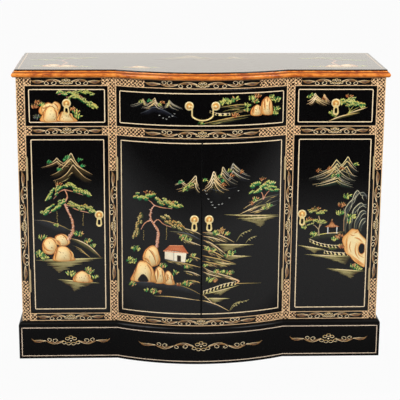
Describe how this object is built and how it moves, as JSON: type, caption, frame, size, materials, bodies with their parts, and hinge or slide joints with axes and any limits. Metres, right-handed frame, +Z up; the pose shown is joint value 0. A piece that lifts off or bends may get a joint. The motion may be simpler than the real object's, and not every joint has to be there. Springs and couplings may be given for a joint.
{
  "type": "sideboard",
  "caption": "Bow-fronted black lacquer sideboard with gilt chinoiserie, hinged doors over a plinth, drawers above and brass drop pulls.",
  "frame": {"origin": "on the floor under the middle of the bounding box", "axes": "+Z up, +Y to the back, the bowed front faces -Y, +X to the right seen from the front"},
  "size_m": [1.14, 0.416, 0.918],
  "materials": {
    "black_lacquer": "gloss lacquer",
    "inner_lacquer": "satin lacquer",
    "burl_wood": "gloss varnish",
    "bare_wood": "bare",
    "brass": "polished",
    "steel": "plain",
    "catch_plastic": "matt"
  },
  "bodies": {
    "carcase": {"back_panel": "inner_lacquer", "bottom_rail": "black_lacquer", "door_catches": "catch_plastic", "drawer_divider": "inner_lacquer", "drawer_kickers": "bare_wood", "drawer_runners": "bare_wood", "floor_panel": "inner_lacquer", "hinge_frame_leaves": "brass", "hinge_pins": "brass", "mid_rail": "black_lacquer", "partition_left": "inner_lacquer", "partition_right": "inner_lacquer", "plinth_front": "black_lacquer", "plinth_moulding": "black_lacquer", "plinth_returns": "black_lacquer", "shelf_centre": "inner_lacquer", "shelf_left": "inner_lacquer", "shelf_pins": "steel", "shelf_right": "inner_lacquer", "side_left": "black_lacquer", "side_right": "black_lacquer", "stile_inner_left": "black_lacquer", "stile_inner_right": "black_lacquer", "stile_outer_left": "black_lacquer", "stile_outer_right": "black_lacquer", "top_moulding": "burl_wood", "top_panel": "black_lacquer", "top_rail": "black_lacquer"},
    "door_left": {"door_left_panel": "black_lacquer", "door_left_hinge_leaves": "brass", "door_left_catch_strike": "steel", "door_left_pull_rosette": "brass"},
    "door_left_pull": {"door_left_drop_pull": "brass"},
    "door_centre_left": {"door_centre_left_panel": "black_lacquer", "door_centre_left_hinge_leaves": "brass", "door_centre_left_catch_strike": "steel", "door_centre_left_pull_rosette": "brass"},
    "door_centre_left_pull": {"door_centre_left_drop_pull": "brass"},
    "door_centre_right": {"door_centre_right_panel": "black_lacquer", "door_centre_right_hinge_leaves": "brass", "door_centre_right_catch_strike": "steel", "door_centre_right_pull_rosette": "brass"},
    "door_centre_right_pull": {"door_centre_right_drop_pull": "brass"},
    "door_right": {"door_right_panel": "black_lacquer", "door_right_hinge_leaves": "brass", "door_right_catch_strike": "steel", "door_right_pull_rosette": "brass"},
    "door_right_pull": {"door_right_drop_pull": "brass"},
    "drawer_left": {"drawer_left_front": "black_lacquer", "drawer_left_box": "bare_wood", "drawer_left_pull_rosette": "brass"},
    "drawer_left_pull": {"drawer_left_drop_pull": "brass"},
    "drawer_right": {"drawer_right_front": "black_lacquer", "drawer_right_box": "bare_wood", "drawer_right_pull_rosette": "brass"},
    "drawer_right_pull": {"drawer_right_drop_pull": "brass"},
    "drawer_centre": {"drawer_centre_front": "black_lacquer", "drawer_centre_box": "bare_wood", "drawer_centre_pull_rosettes": "brass"},
    "drawer_centre_bail": {"drawer_centre_bail_pull": "brass"}
  },
  "joints": [
    {"name": "door_left_hinge", "type": "hinge", "parent": "carcase", "child": "door_left", "pos_m": [-0.5308, -0.1393, 0.4335], "axis": [0, 0, -1], "range_deg": [0, 110]},
    {"name": "door_right_hinge", "type": "hinge", "parent": "carcase", "child": "door_right", "pos_m": [0.5308, -0.1393, 0.4335], "axis": [0, 0, 1], "range_deg": [0, 110]},
    {"name": "door_centre_left_hinge", "type": "hinge", "parent": "carcase", "child": "door_centre_left", "pos_m": [-0.2568, -0.1393, 0.4335], "axis": [0, 0, -1], "range_deg": [0, 95]},
    {"name": "door_centre_right_hinge", "type": "hinge", "parent": "carcase", "child": "door_centre_right", "pos_m": [0.2568, -0.1393, 0.4335], "axis": [0, 0, 1], "range_deg": [0, 95]},
    {"name": "drawer_left_slide", "type": "slide", "parent": "carcase", "child": "drawer_left", "axis": [0, -1, 0], "range_m": [0, 0.24]},
    {"name": "drawer_centre_slide", "type": "slide", "parent": "carcase", "child": "drawer_centre", "axis": [0, -1, 0], "range_m": [0, 0.24]},
    {"name": "drawer_right_slide", "type": "slide", "parent": "carcase", "child": "drawer_right", "axis": [0, -1, 0], "range_m": [0, 0.24]},
    {"name": "door_left_pull_swing", "type": "hinge", "parent": "door_left", "child": "door_left_pull", "pos_m": [-0.314, -0.142, 0.4665], "axis": [-1, 0, 0], "range_deg": [0, 100]},
    {"name": "door_right_pull_swing", "type": "hinge", "parent": "door_right", "child": "door_right_pull", "pos_m": [0.314, -0.142, 0.4665], "axis": [-1, 0, 0], "range_deg": [0, 100]},
    {"name": "door_centre_left_pull_swing", "type": "hinge", "parent": "door_centre_left", "child": "door_centre_left_pull", "pos_m": [-0.02263, -0.20157, 0.4665], "axis": [-0.9993, 0.0383, 0], "range_deg": [0, 100]},
    {"name": "door_centre_right_pull_swing", "type": "hinge", "parent": "door_centre_right", "child": "door_centre_right_pull", "pos_m": [0.02263, -0.20157, 0.4665], "axis": [-0.9993, -0.0383, 0], "range_deg": [0, 100]},
    {"name": "drawer_left_pull_swing", "type": "hinge", "parent": "drawer_left", "child": "drawer_left_pull", "pos_m": [-0.4075, -0.142, 0.815], "axis": [-1, 0, 0], "range_deg": [0, 100]},
    {"name": "drawer_right_pull_swing", "type": "hinge", "parent": "drawer_right", "child": "drawer_right_pull", "pos_m": [0.4075, -0.142, 0.815], "axis": [-1, 0, 0], "range_deg": [0, 100]},
    {"name": "drawer_centre_bail_swing", "type": "hinge", "parent": "drawer_centre", "child": "drawer_centre_bail", "pos_m": [0, -0.20364, 0.817], "axis": [-1, 0, 0], "range_deg": [0, 95]}
  ]
}
